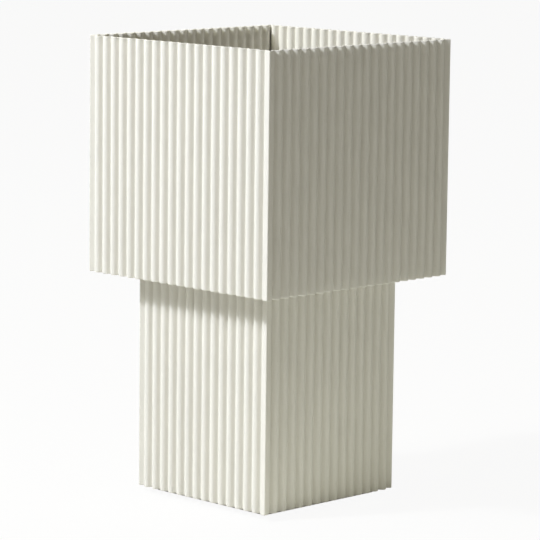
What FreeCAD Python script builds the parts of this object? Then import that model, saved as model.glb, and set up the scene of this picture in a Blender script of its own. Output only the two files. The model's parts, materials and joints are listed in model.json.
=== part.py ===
import FreeCAD, Part
import math
import os

# A square table lamp of ribbed sheet: a column on a weighted base, with a wider shade round its head.
# Lengths are in millimetres. The lamp stands on z = 0 with its axis on the Z axis. The sharp folded
# corners point to (+X, -Y) and (-X, +Y), and the seams run up the other two corners.

# Ribbed sheet, the same in the shade and the column
sheet = 1.5
rib_pitch = 6.457
rib_slope = 50.0
fold_radius = 0.7
corner_shoulder = 1.2
corner_tip = 0.6
seam_taper = 6.0
seam_reach = 0.7
seam_edge = 0.6

# Column and shade
base_reveal = 3.2
column_ribs = 15
shade_ribs = 21
shade_lift = 118.2
column_overlap = 12.0
shade_height = 127.8

# Keys that join the halves along the seams
key_setback = 0.8
key_head_width = 9.0
key_head_sheet = 1.5
key_margin = 3.0

# Fits and gaps
bond_gap = 0.05
slip_gap = 0.25
screw_play = 0.2
thread_gap = 0.04
running_gap = 0.08

# Screws and nuts
m3_radius = 1.5
m3_head_radius = 2.75
m3_head_height = 2.0
m3_nut_width = 5.5
m3_nut_height = 2.4
m2_radius = 1.0
m2_head_radius = 1.9
m2_head_height = 1.3
socket_depth = 0.9
slot_width = 0.6
thread_hold = 4.0

# Base
base_gap = 4.7
base_thickness = 8.0
base_corner = 1.5
foot_proud = 0.5
foot_thickness = 1.2
foot_margin = 3.5
base_screw_inset = 11.0
tray_sheet = 1.5
tray_flange = 13.0

# Battery pack, lying on the tray
cell_radius = 9.2
cell_length = 65.0
cell_spacing = 20.0
battery_y = -11.0
holder_wall = 2.0
holder_height = 14.0
holder_foot = 3.0
holder_foot_inset = 9.0
contact_thickness = 1.0
contact_width = 8.0
strap_width = 11.0
strap_sheet = 1.0
strap_foot = 7.5

# Control panel in the back wall
panel_z = 27.0
panel_width = 36.0
panel_height = 20.0
panel_corner = 2.0
panel_lip = 3.0
panel_lip_sheet = 1.5
panel_face = 2.4
board_depth = 10.0
board_thickness = 1.6
board_width = 40.0
board_height = 25.0
post_radius = 2.4
button_x = -8.0
button_radius = 5.5
button_proud = 0.8
button_travel = 1.0
button_flange = 1.0
button_flange_sheet = 1.0
switch_width = 6.0
switch_height = 3.6
plunger_radius = 1.6
port_x = 8.0
port_width = 8.94
port_height = 3.26
port_wall = 0.3
port_roundness = 0.98
port_tongue_width = 6.7
port_tongue_height = 0.7
light_x = 0.6
light_radius = 1.1
light_collar = 0.5

# Parts soldered to the board, placed from the middle of the panel
connector_width = 6.0
connector_height = 4.6
connector_depth = 4.0
battery_plug_x = 2.0
battery_plug_rise = -2.0
light_plug_x = 8.0
light_plug_rise = 6.0
coil_x = -10.0
coil_rise = 1.5
coil_width = 6.0
coil_depth = 3.0
chip_width = 4.0
chip_depth = 1.2
driver_x = -2.0
driver_rise = 6.0
charger_x = 9.5
charger_rise = -2.0
capacitor_x = -14.0
capacitor_rise = -6.5
capacitor_spacing = 6.0
capacitor_radius = 2.0
capacitor_height = 4.0

# Leads
lead_radius = 1.5
lead_exit = 4.5
lead_plug_run = 7.0
lead_head_run = 14.0

# Head of the column
head_sheet = 2.0
head_flange = 10.0
head_flange_sheet = 1.5
head_screw_inset = 8.0
grommet_radius = 5.0
grommet_lip = 1.6
grommet_lip_sheet = 1.2
spider_sheet = 2.5
spider_margin = 1.5
spider_corner = 6.0
arm_width = 14.0
tab_height = 15.0
tab_sheet = 2.5

# Light unit
sink_radius = 27.0
sink_height = 8.0
sink_groove = 2.0
sink_grooves = 2
led_board_radius = 25.5
led_board_sheet = 1.6
led_count = 12
led_circle = 17.0
led_width = 2.8
led_length = 3.5
led_height = 0.8
led_screw_circle = 9.5
led_screws = 3
diffuser_radius = 32.0
diffuser_wall = 2.0
diffuser_height = 38.0
diffuser_shoulder = 8.0
diffuser_flange = 3.5
diffuser_flange_sheet = 2.0
ring_width = 7.0
ring_sheet = 2.0
ring_screws = 4

# Sizes that follow from those above
slope = math.radians(rib_slope)
ridge_radius = fold_radius + sheet
ridge_peak = ridge_radius / math.cos(slope)
valley_peak = ridge_peak - rib_pitch / 2 * math.tan(slope)
valley_centre = valley_peak + fold_radius / math.cos(slope)
inner_plane = valley_centre - ridge_radius
column_line = column_ribs * rib_pitch / 2
shade_line = shade_ribs * rib_pitch / 2
column_inside = column_line + inner_plane
column_outside = column_line + ridge_radius
shade_inside = shade_line + inner_plane

base_bottom = foot_proud
base_top = base_bottom + base_thickness
base_half = column_inside - base_gap
tray_top = base_top + tray_sheet
tray_half = column_inside - bond_gap
base_screw_place = base_half - base_screw_inset
column_bottom = base_reveal
shade_bottom = column_bottom + shade_lift
shade_top = shade_bottom + shade_height
column_top = shade_bottom + column_overlap
head_bottom = column_top - head_sheet
head_screw_place = tray_half - head_screw_inset
spider_top = column_top + spider_sheet

holder_half_x = cell_length / 2 + contact_thickness + holder_wall
holder_half_y = cell_spacing / 2 + cell_radius + slip_gap + holder_wall
holder_bottom = tray_top + m3_nut_height + slip_gap
holder_top = holder_bottom + holder_height
cell_z = holder_bottom + holder_wall + cell_radius
strap_top = cell_z + cell_radius + strap_sheet

face_y = column_outside
lip_front = column_inside - bond_gap
lip_back = lip_front - panel_lip_sheet
board_front = face_y - board_depth
board_back = board_front - board_thickness
panel_back = face_y - panel_face
post_x = board_width / 2 - post_radius
post_z = board_height / 2 - post_radius


def vector(x, y, z=0.0):
    return FreeCAD.Vector(x, y, z)


def save(name, shape):
    shape.exportStep("parts/" + name + ".step")


def block(low, high):
    """A box between two corners."""
    size = [high[i] - low[i] for i in range(3)]
    return Part.makeBox(size[0], size[1], size[2], vector(*low))


def plate(half_x, half_y, low, high, corner=0.0, centre=(0.0, 0.0)):
    """An upright prism on a rectangle, with rounded corners where a radius is given."""
    x, y = centre
    shape = block((x - half_x, y - half_y, low), (x + half_x, y + half_y, high))
    if corner > 0:
        upright = [edge for edge in shape.Edges if abs(edge.tangentAt(edge.FirstParameter).z) > 0.9]
        shape = shape.makeFillet(corner, upright)
    return shape


def post(radius, low, high, place=(0.0, 0.0)):
    """An upright cylinder."""
    return Part.makeCylinder(radius, high - low, vector(place[0], place[1], low))


def rod_y(radius, low, high, x, z):
    """A cylinder along Y."""
    return Part.makeCylinder(radius, high - low, vector(x, low, z), vector(0, 1, 0))


def turned(points):
    """A closed profile of (radius, height) points, turned about the Z axis."""
    outline = Part.makePolygon([vector(r, 0, z) for r, z in points + points[:1]])
    return Part.Face(outline).revolve(vector(0, 0), vector(0, 0, 1), 360)


def circle_places(radius, count, start=0.0):
    """Evenly spaced places on a circle, the first at the start angle in degrees."""
    angles = [math.radians(start + 360.0 * i / count) for i in range(count)]
    return [(radius * math.cos(a), radius * math.sin(a)) for a in angles]


def corner_places(x, y):
    return [(x, y), (-x, y), (-x, -y), (x, -y)]


def hexagon_nut(place, low, width, height, bore):
    corners = circle_places(width / math.sqrt(3), 6)
    outline = Part.makePolygon([vector(place[0] + x, place[1] + y, low) for x, y in corners + corners[:1]])
    nut = Part.Face(outline).extrude(vector(0, 0, height))
    return nut.cut(post(bore, low - 1, low + height + 1, place))


def screw(place, seat, down, shank_radius, head_radius, head_height, up=1):
    """A round-headed screw with a hexagon socket, its head on the seat and its shank of length down."""
    head = Part.makeCylinder(head_radius, head_height, vector(place[0], place[1], seat), vector(0, 0, up))
    shank = Part.makeCylinder(shank_radius, down, vector(place[0], place[1], seat), vector(0, 0, -up))
    corners = circle_places(shank_radius, 6)
    top = seat + up * head_height
    outline = Part.makePolygon([vector(place[0] + x, place[1] + y, top) for x, y in corners + corners[:1]])
    socket = Part.Face(outline).extrude(vector(0, 0, -up * socket_depth))
    return head.fuse(shank).removeSplitter().cut(socket)


def rounded_outline(points, radii):
    """A closed wire through the points, each corner rounded by its own radius."""
    edges = []
    starts = []
    ends = []
    arcs = []
    count = len(points)
    for i in range(count):
        here = points[i]
        back = (points[i - 1] - here).normalize()
        ahead = (points[(i + 1) % count] - here).normalize()
        if radii[i] <= 0:
            starts.append(here)
            ends.append(here)
            arcs.append(None)
            continue
        half = back.getAngle(ahead) / 2
        reach = radii[i] / math.tan(half)
        middle = (back + ahead).normalize()
        centre = here + middle * (radii[i] / math.sin(half))
        starts.append(here + back * reach)
        ends.append(here + ahead * reach)
        arcs.append(centre - middle * radii[i])
    for i in range(count):
        if arcs[i] is not None:
            edges.append(Part.Arc(starts[i], arcs[i], ends[i]).toShape())
        follow = starts[(i + 1) % count]
        if (follow - ends[i]).Length > 1e-6:
            edges.append(Part.LineSegment(ends[i], follow).toShape())
    return Part.Wire(edges)


def meeting_point(normal_a, reach_a, normal_b, reach_b):
    """Where two lines cross, each given by its normal and its distance along that normal."""
    across = normal_a.x * normal_b.y - normal_a.y * normal_b.x
    x = (reach_a * normal_b.y - reach_b * normal_a.y) / across
    y = (reach_b * normal_a.x - reach_a * normal_b.x) / across
    return vector(x, y)


def wall_side(line, ribs, depth):
    """One surface of a wall from its seam to its sharp corner, as corners and their radii.

    depth is how far the surface lies under the outer one. The wall faces -Y, at distance line.
    """
    ridge_fold = ridge_radius - depth
    valley_fold = fold_radius + depth
    drop = depth / math.cos(slope)
    flange = math.radians(45.0 - seam_taper)
    valley = vector(-line + rib_pitch / 2, valley_centre)
    rising = vector(-math.sin(slope), math.cos(slope))
    falling = vector(math.sin(flange), math.cos(flange))
    outward = vector(-1, 1).normalize()
    falling_reach = valley.dot(falling) - valley_fold
    root = meeting_point(rising, valley.dot(rising) - valley_fold, falling, falling_reach)
    end = meeting_point(falling, falling_reach, outward, vector(-line, 0).dot(outward) + seam_reach)
    corners = [end, root]
    radii = [seam_edge if depth == 0 else 0.0, valley_fold]
    for i in range(1, ribs):
        ridge_x = -line + i * rib_pitch
        corners += [vector(ridge_x, ridge_peak - drop), vector(ridge_x + rib_pitch / 2, valley_peak - drop)]
        radii += [ridge_fold, valley_fold]
    shoulder_x = line - (ridge_peak - ridge_radius - drop + depth) / math.tan(slope)
    corners.append(vector(shoulder_x, ridge_radius - depth))
    radii.append(corner_shoulder if depth == 0 else 0.0)
    tip = vector(line + ridge_radius - depth, ridge_radius - depth)
    placed = [vector(p.x, -line - p.y) for p in corners]
    return placed, radii, vector(tip.x, -line - tip.y)


def folded_half(line, ribs, low, high):
    """An L of ribbed sheet: the -Y wall and the +X wall, folded sharp where they meet."""
    outer, outer_radii, outer_tip = wall_side(line, ribs, 0.0)
    inner, inner_radii, inner_tip = wall_side(line, ribs, sheet)
    outer_mirrored = [vector(-p.y, -p.x) for p in reversed(outer)]
    inner_mirrored = [vector(-p.y, -p.x) for p in inner]
    points = outer + [outer_tip] + outer_mirrored + inner_mirrored + [inner_tip] + inner[::-1]
    radii = outer_radii + [corner_tip] + outer_radii[::-1] + inner_radii + [0.0] + inner_radii[::-1]
    face = Part.Face(rounded_outline(points, radii))
    half = face.extrude(vector(0, 0, high - low))
    half.translate(vector(0, 0, low))
    return half


def turned_round(shape):
    """A copy of a front piece at the back, half a turn about the axis."""
    copy = shape.copy()
    copy.rotate(vector(0, 0), vector(0, 0, 1), 180)
    return copy


def seam_key(line, low, high):
    """A T-shaped key between the two flanges of the seam at (-X, -Y), its head inside the corner."""
    taper = math.radians(seam_taper)
    valley_along = (-rib_pitch / 2 + valley_centre) / math.sqrt(2)
    valley_across = (rib_pitch / 2 + valley_centre) / math.sqrt(2)
    web_end = seam_reach - key_setback
    slack = valley_across - ridge_radius / math.cos(taper) - (web_end - valley_along) * math.tan(taper)
    web = slack - bond_gap
    head_top = valley_along - ridge_radius - bond_gap
    outline = [(web_end, web), (head_top, web), (head_top, key_head_width / 2)]
    outline += [(head_top - key_head_sheet, key_head_width / 2)]
    outline += [(s, -w) for s, w in reversed(outline)]
    along = vector(-1, -1).normalize()
    across = vector(1, -1).normalize()
    points = [vector(-line, -line, low) + along * s + across * w for s, w in outline]
    face = Part.Face(Part.makePolygon(points + points[:1]))
    return face.extrude(vector(0, 0, high - low))


def rounded_path(points):
    """Straight runs joined by tangent arcs, each as large as its two runs allow."""
    edges = []
    last = points[0]
    for i in range(1, len(points) - 1):
        back = points[i - 1] - points[i]
        ahead = points[i + 1] - points[i]
        reach = 0.45 * min(back.Length, ahead.Length)
        half = back.getAngle(ahead) / 2
        start = points[i] + back.normalize() * reach
        end = points[i] + ahead.normalize() * reach
        middle = (back + ahead).normalize()
        radius = reach * math.tan(half)
        centre = points[i] + middle * (radius / math.sin(half))
        edges.append(Part.LineSegment(last, start).toShape())
        edges.append(Part.Arc(start, centre - middle * radius, end).toShape())
        last = end
    edges.append(Part.LineSegment(last, points[-1]).toShape())
    return Part.Wire(edges)


def lead(points, radius):
    """A round lead along a route."""
    path = rounded_path(points)
    ring = Part.Circle(points[0], (points[1] - points[0]).normalize(), radius).toShape()
    return path.makePipeShell([Part.Wire(ring)], True, False)


def make_base():
    pocket = base_bottom + foot_thickness - foot_proud
    foot_half = base_half - foot_margin
    places = corner_places(base_screw_place, base_screw_place)
    save("foot_pad", plate(foot_half, foot_half, 0, foot_thickness, base_corner))
    head_seat = pocket + m3_head_height + slip_gap
    base = plate(base_half, base_half, base_bottom, base_top, base_corner)
    base = base.cut(plate(foot_half + slip_gap, foot_half + slip_gap, base_bottom - 1, pocket, base_corner))
    for place in places:
        base = base.cut(post(m3_radius + screw_play, base_bottom, base_top + 1, place))
        base = base.cut(post(m3_head_radius + screw_play, base_bottom, head_seat, place))
    strap_places = strap_screw_places()
    for place in strap_places:
        base = base.cut(post(m3_radius + thread_gap, base_top - thread_hold, base_top + 1, place))
    save("base_plate", base)

    tray = plate(tray_half, tray_half, base_top, base_top + tray_flange)
    inside = tray_half - tray_sheet
    tray = tray.cut(plate(inside, inside, tray_top, base_top + tray_flange + 1))
    tray = tray.cut(tray_window())
    for place in places + strap_places:
        tray = tray.cut(post(m3_radius + screw_play, base_top - 1, tray_top + 1, place))
    save("base_tray", tray)

    shank = tray_top + m3_nut_height - head_seat
    screws = [screw(p, head_seat, shank, m3_radius, m3_head_radius, m3_head_height, -1) for p in places]
    save("base_screws", Part.makeCompound(screws))
    bore = m3_radius + thread_gap
    nuts = [hexagon_nut(p, tray_top, m3_nut_width, m3_nut_height, bore) for p in places]
    save("base_nuts", Part.makeCompound(nuts))


def tray_window():
    """The room that the control panel needs in the tray's back flange."""
    half = panel_width / 2 + panel_lip + 1
    return block((-half, tray_half - tray_sheet - 1, tray_top), (half, tray_half + 1, base_top + tray_flange + 1))


def strap_screw_places():
    reach = holder_half_y + slip_gap + strap_foot / 2 + strap_sheet / 2
    return [(0, battery_y + reach), (0, battery_y - reach)]


def make_battery():
    holder = plate(holder_half_x, holder_half_y, holder_bottom, holder_top, 0, (0, battery_y))
    hollow_x = holder_half_x - holder_wall
    hollow_y = holder_half_y - holder_wall
    floor = holder_bottom + holder_wall
    holder = holder.cut(plate(hollow_x, hollow_y, floor, holder_top + 1, 0, (0, battery_y)))
    for x, y in corner_places(holder_half_x - holder_foot_inset, holder_half_y - holder_foot_inset):
        holder = holder.fuse(post(holder_foot, tray_top, holder_bottom, (x, battery_y + y)))
    holder = holder.removeSplitter()
    save("battery_holder", holder)
    rows = [("battery_cell_front", battery_y - cell_spacing / 2), ("battery_cell_back", battery_y + cell_spacing / 2)]
    contacts = []
    for name, y in rows:
        start = vector(-cell_length / 2, y, cell_z)
        save(name, Part.makeCylinder(cell_radius, cell_length, start, vector(1, 0, 0)))
        for low in (-hollow_x, cell_length / 2):
            corner = (low, y - contact_width / 2, cell_z - contact_width / 2)
            contacts.append(block(corner, (low + contact_thickness, y + contact_width / 2, holder_top)))
    save("battery_contacts", Part.makeCompound(contacts))

    outer = holder_half_y + slip_gap + strap_sheet
    strap = plate(strap_width / 2, outer, tray_top, strap_top, 0, (0, battery_y))
    inner = outer - strap_sheet
    strap = strap.cut(plate(strap_width, inner, tray_top - 1, strap_top - strap_sheet, 0, (0, battery_y)))
    foot_reach = outer - strap_sheet + strap_foot
    feet = plate(strap_width / 2, foot_reach, tray_top, tray_top + strap_sheet, 0, (0, battery_y))
    feet = feet.cut(plate(strap_width, inner, tray_top - 1, tray_top + strap_sheet + 1, 0, (0, battery_y)))
    strap = strap.fuse(feet).removeSplitter()
    for place in strap_screw_places():
        strap = strap.cut(post(m3_radius + screw_play, tray_top - 1, tray_top + strap_sheet + 1, place))
    save("battery_strap", strap)
    seat = tray_top + strap_sheet
    down = seat - base_top + thread_hold - slip_gap
    places = strap_screw_places()
    screws = [screw(p, seat, down, m3_radius, m3_head_radius, m3_head_height) for p in places]
    save("strap_screws", Part.makeCompound(screws))


def upright_plate(half_x, half_z, low_y, high_y, corner=0.0, x=0.0):
    """A plate that stands across Y, centred on the control panel's height."""
    shape = block((x - half_x, low_y, panel_z - half_z), (x + half_x, high_y, panel_z + half_z))
    if corner > 0:
        along = [edge for edge in shape.Edges if abs(edge.tangentAt(edge.FirstParameter).y) > 0.9]
        shape = shape.makeFillet(corner, along)
    return shape


def panel_hole():
    """The hole in the column's back wall that the control panel fills."""
    half_x = panel_width / 2 + slip_gap
    half_z = panel_height / 2 + slip_gap
    return upright_plate(half_x, half_z, lip_front - 1, face_y + 1, panel_corner + slip_gap)


def make_controls():
    bezel = upright_plate(panel_width / 2, panel_height / 2, lip_back, face_y, panel_corner)
    lip_x = panel_width / 2 + panel_lip
    lip_z = panel_height / 2 + panel_lip
    bezel = bezel.fuse(upright_plate(lip_x, lip_z, lip_back, lip_front, panel_corner))
    hollow_x = panel_width / 2 - panel_face
    hollow_z = panel_height / 2 - panel_face
    bezel = bezel.cut(upright_plate(hollow_x, hollow_z, lip_back - 1, panel_back))
    places = corner_places(post_x, post_z)
    for x, z in places:
        bezel = bezel.fuse(rod_y(post_radius, board_front, lip_front, x, panel_z + z))
    button_hole = button_radius + running_gap
    bezel = bezel.cut(rod_y(button_hole, lip_back, face_y + 1, button_x, panel_z))
    light_hole = light_radius + running_gap
    bezel = bezel.cut(rod_y(light_hole, lip_back, face_y + 1, light_x, panel_z))
    mouth = port_shell(port_width / 2 + running_gap, port_height / 2 + running_gap, panel_back - 1, face_y + 1)
    bezel = bezel.cut(mouth)
    for x, z in places:
        bezel = bezel.cut(rod_y(m2_radius + thread_gap, board_front - 1, lip_back, x, panel_z + z))
    save("control_bezel", bezel.removeSplitter())

    board = upright_plate(board_width / 2, board_height / 2, board_back, board_front)
    for x, z in places:
        board = board.cut(rod_y(m2_radius + screw_play, board_back - 1, board_front + 1, x, panel_z + z))
    save("control_board", board)
    screws = []
    for x, z in places:
        head = rod_y(m2_head_radius, board_back - m2_head_height, board_back, x, panel_z + z)
        shank = rod_y(m2_radius, board_back, lip_back - slip_gap, x, panel_z + z)
        slot = block((x - m2_head_radius, board_back - m2_head_height - 1, panel_z + z - slot_width / 2),
                     (x + m2_head_radius, board_back - m2_head_height / 2, panel_z + z + slot_width / 2))
        screws.append(head.fuse(shank).cut(slot))
    save("board_screws", Part.makeCompound(screws))

    save("push_switch", make_switch())
    plunger_back = board_front + switch_height - button_travel
    flange_back = panel_back - button_flange_sheet
    plunger = rod_y(plunger_radius, plunger_back, flange_back, button_x, panel_z)
    save("switch_plunger", plunger)
    cap = rod_y(button_radius, panel_back, face_y + button_proud, button_x, panel_z)
    rim = max(cap.Edges, key=lambda edge: edge.BoundBox.YMin)
    cap = cap.makeFillet(button_proud / 2, [rim])
    flange = rod_y(button_radius + button_flange, flange_back, panel_back, button_x, panel_z)
    save("dimmer_button", cap.fuse(flange).removeSplitter())
    make_port()
    light = rod_y(light_radius, board_front, face_y, light_x, panel_z)
    collar = rod_y(light_radius + light_collar, panel_back - light_collar, panel_back, light_x, panel_z)
    save("charge_light_pipe", light.fuse(collar).removeSplitter())
    make_components()


def make_switch():
    """A push switch on the board, bored for its plunger."""
    half = switch_width / 2
    low = (button_x - half, board_front, panel_z - half)
    body = block(low, (button_x + half, board_front + switch_height, panel_z + half))
    bore = plunger_radius + running_gap
    bore_back = board_front + switch_height - 2 * button_travel - slip_gap
    return body.cut(rod_y(bore, bore_back, board_front + switch_height + 1, button_x, panel_z))


def port_shell(half_x, half_z, low_y, high_y):
    """A bar with the charge socket's round-ended outline."""
    return upright_plate(half_x, half_z, low_y, high_y, half_z * port_roundness, port_x)


def make_port():
    half_x = port_width / 2
    half_z = port_height / 2
    body = port_shell(half_x, half_z, board_front, face_y)
    floor = board_front + board_depth / 4
    body = body.cut(port_shell(half_x - port_wall, half_z - port_wall, floor, face_y + 1))
    tongue_x = port_tongue_width / 2
    tongue_z = port_tongue_height / 2
    tongue = block((port_x - tongue_x, floor - port_wall, panel_z - tongue_z),
                   (port_x + tongue_x, face_y - port_wall - port_tongue_height, panel_z + tongue_z))
    save("usb_c_socket", body.fuse(tongue).removeSplitter())


def board_block(x, rise, width, height, depth):
    """A block on the board's inner face."""
    low = (x - width / 2, board_back - depth, panel_z + rise - height / 2)
    return block(low, (x + width / 2, board_back, panel_z + rise + height / 2))


def make_components():
    """The soldered parts on the board's inner face: connectors, coil, chips and capacitors."""
    parts = [
        board_block(battery_plug_x, battery_plug_rise, connector_width, connector_height, connector_depth),
        board_block(light_plug_x, light_plug_rise, connector_width, connector_height, connector_depth),
        board_block(coil_x, coil_rise, coil_width, coil_width, coil_depth),
        board_block(driver_x, driver_rise, chip_width, chip_width, chip_depth),
        board_block(charger_x, charger_rise, chip_width, chip_width, chip_depth),
    ]
    for x in (capacitor_x, capacitor_x + capacitor_spacing):
        end = board_back - capacitor_height
        parts.append(rod_y(capacitor_radius, end, board_back, x, panel_z + capacitor_rise))
    save("board_components", Part.makeCompound(parts))


def make_leads():
    plug_y = board_back - connector_depth
    battery_plug = vector(battery_plug_x, plug_y, panel_z + battery_plug_rise)
    start = vector(holder_half_x, battery_y, holder_bottom + holder_height * 0.6)
    battery_route = [
        start,
        start + vector(lead_exit, 0, 0),
        start + vector(lead_exit * 1.2, lead_exit * 2, lead_exit),
        vector(holder_half_x + lead_exit / 4, plug_y * 0.34, start.z + lead_exit * 2),
        vector(holder_half_x * 0.6, plug_y * 0.55, start.z + lead_exit * 2.8),
        vector(holder_half_x * 0.25, plug_y - lead_plug_run * 2, battery_plug.z + lead_exit * 0.8),
        battery_plug - vector(0, lead_plug_run, 0),
        battery_plug,
    ]
    save("battery_lead", lead(battery_route, lead_radius))
    light_plug = vector(light_plug_x, plug_y, panel_z + light_plug_rise)
    rise = head_bottom - light_plug.z
    light_route = [
        light_plug,
        light_plug - vector(0, lead_plug_run, 0),
        vector(light_plug_x * 0.8, plug_y - lead_plug_run * 2, light_plug.z + rise * 0.06),
        vector(light_plug_x * 1.1, plug_y * 0.42, light_plug.z + rise * 0.25),
        vector(light_plug_x * 0.4, plug_y * 0.3, light_plug.z + rise * 0.5),
        vector(light_plug_x * 0.2, plug_y * 0.08, light_plug.z + rise * 0.74),
        vector(0, 0, head_bottom - lead_head_run),
        vector(0, 0, spider_top + sink_height),
    ]
    save("led_lead", lead(light_route, lead_radius))


def make_column():
    front = folded_half(column_line, column_ribs, column_bottom, column_top)
    back = turned_round(front).cut(panel_hole())
    save("column_front_half", front)
    save("column_back_half", back)
    key = seam_key(column_line, base_top + tray_flange + slip_gap, head_bottom - head_flange - slip_gap)
    save("column_left_key", key)
    save("column_right_key", turned_round(key))


def make_head():
    places = corner_places(head_screw_place, head_screw_place)
    low = head_bottom - head_flange
    head = plate(tray_half, tray_half, low, column_top)
    inside = tray_half - head_flange_sheet
    head = head.cut(plate(inside, inside, low - 1, head_bottom))
    head = head.cut(post(grommet_radius, head_bottom - 1, column_top + 1))
    for place in places:
        head = head.cut(post(m3_radius + screw_play, head_bottom - 1, column_top + 1, place))
    save("head_plate", head)

    bore = lead_radius + bond_gap
    lip = grommet_radius + grommet_lip
    top = column_top + grommet_lip_sheet
    bottom = head_bottom - grommet_lip_sheet
    waist = grommet_radius - bond_gap
    profile = [(bore, bottom), (lip, bottom), (lip, head_bottom), (waist, head_bottom), (waist, column_top)]
    profile += [(lip, column_top), (lip, top), (bore, top)]
    save("cable_grommet", turned(profile))

    half = tray_half - spider_margin
    spider = plate(half, half, column_top, spider_top, spider_corner)
    reach = shade_inside - bond_gap
    for turn in (0, 90, 180, 270):
        arm = block((0, -arm_width / 2, column_top), (reach, arm_width / 2, spider_top))
        tab = block((reach - tab_sheet, -arm_width / 2, column_top), (reach, arm_width / 2, column_top + tab_height))
        arm = arm.fuse(tab)
        arm.rotate(vector(0, 0), vector(0, 0, 1), turn)
        spider = spider.fuse(arm)
    spider = spider.removeSplitter()
    spider = spider.cut(post(lip + slip_gap, column_top - 1, spider_top + 1))
    for place in places:
        spider = spider.cut(post(m3_radius + screw_play, column_top - 1, spider_top + 1, place))
    for place in led_screw_places() + ring_screw_places():
        spider = spider.cut(post(m2_radius + thread_gap, column_top - 1, spider_top + 1, place))
    save("shade_spider", spider)

    down = spider_top - head_bottom + m3_nut_height
    screws = [screw(p, spider_top, down, m3_radius, m3_head_radius, m3_head_height) for p in places]
    save("head_screws", Part.makeCompound(screws))
    low = head_bottom - m3_nut_height
    nuts = [hexagon_nut(p, low, m3_nut_width, m3_nut_height, m3_radius + thread_gap) for p in places]
    save("head_nuts", Part.makeCompound(nuts))


def led_screw_places():
    return circle_places(led_screw_circle, led_screws, 90)


def ring_screw_places():
    flange_edge = diffuser_radius + diffuser_flange + slip_gap
    ring_edge = diffuser_radius + slip_gap + ring_width
    return circle_places((flange_edge + ring_edge) / 2, ring_screws, 45)


def make_light():
    sink_top = spider_top + sink_height
    sink = post(sink_radius, spider_top, sink_top).cut(post(lead_radius + screw_play, spider_top - 1, sink_top + 1))
    web = sink_height / (2 * sink_grooves + 1)
    for i in range(sink_grooves):
        low = spider_top + web * (2 * i + 1)
        groove = post(sink_radius + 1, low, low + web).cut(post(sink_radius - sink_groove, low, low + web))
        sink = sink.cut(groove)
    board_top = sink_top + led_board_sheet
    board = post(led_board_radius, sink_top, board_top)
    for place in led_screw_places():
        sink = sink.cut(post(m2_radius + screw_play, spider_top - 1, sink_top + 1, place))
        board = board.cut(post(m2_radius + screw_play, sink_top - 1, board_top + 1, place))
    save("heat_sink", sink)
    save("led_board", board)
    chips = []
    for i in range(led_count):
        low = (led_circle - led_length / 2, -led_width / 2, board_top)
        chip = block(low, (led_circle + led_length / 2, led_width / 2, board_top + led_height))
        chip.rotate(vector(0, 0), vector(0, 0, 1), 360.0 * i / led_count)
        chips.append(chip)
    save("led_chips", Part.makeCompound(chips))
    down = board_top - column_top
    places = led_screw_places()
    screws = [screw(p, board_top, down, m2_radius, m2_head_radius, m2_head_height) for p in places]
    save("led_screws", Part.makeCompound(screws))
    save("opal_diffuser", make_diffuser())
    save("diffuser_ring", make_ring())
    seat = spider_top + diffuser_flange_sheet + ring_sheet
    down = seat - column_top
    places = ring_screw_places()
    screws = [screw(p, seat, down, m2_radius, m2_head_radius, m2_head_height) for p in places]
    save("ring_screws", Part.makeCompound(screws))


def make_diffuser():
    """An opal cup, open below, with a flange that the ring holds down."""
    outer = diffuser_radius
    inner = outer - diffuser_wall
    top = spider_top + diffuser_height
    shoulder = diffuser_shoulder
    profile = Part.makePolygon([vector(0, 0, spider_top), vector(outer, 0, spider_top), vector(outer, 0, top),
                                vector(0, 0, top), vector(0, 0, spider_top)])
    cup = Part.Face(profile).revolve(vector(0, 0), vector(0, 0, 1), 360)
    cup = cup.makeFillet(shoulder, [max(cup.Edges, key=lambda edge: edge.BoundBox.ZMin)])
    core = post(inner, spider_top - 1, top - diffuser_wall)
    rim = max(core.Edges, key=lambda edge: edge.BoundBox.ZMin)
    core = core.makeFillet(shoulder - diffuser_wall, [rim])
    flange = post(outer + diffuser_flange, spider_top, spider_top + diffuser_flange_sheet)
    return cup.fuse(flange).removeSplitter().cut(core)


def make_ring():
    inner = diffuser_radius + slip_gap
    flange = diffuser_radius + diffuser_flange + slip_gap
    outer = inner + ring_width
    step = spider_top + diffuser_flange_sheet
    top = step + ring_sheet
    ring = turned([(flange, spider_top), (outer, spider_top), (outer, top), (inner, top), (inner, step), (flange, step)])
    for place in ring_screw_places():
        ring = ring.cut(post(m2_radius + screw_play, spider_top - 1, top + 1, place))
    return ring


def make_shade():
    front = folded_half(shade_line, shade_ribs, shade_bottom, shade_top)
    save("shade_front_half", front)
    save("shade_back_half", turned_round(front))
    key = seam_key(shade_line, shade_bottom + key_margin, shade_top - key_margin)
    save("shade_left_key", key)
    save("shade_right_key", turned_round(key))


os.makedirs("parts", exist_ok=True)
make_base()
make_battery()
make_controls()
make_leads()
make_column()
make_head()
make_light()
make_shade()
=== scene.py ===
import json
import math

import bmesh
import bpy
from bpy.props import FloatProperty, FloatVectorProperty, IntProperty, PointerProperty
from mathutils import Matrix, Vector


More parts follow.
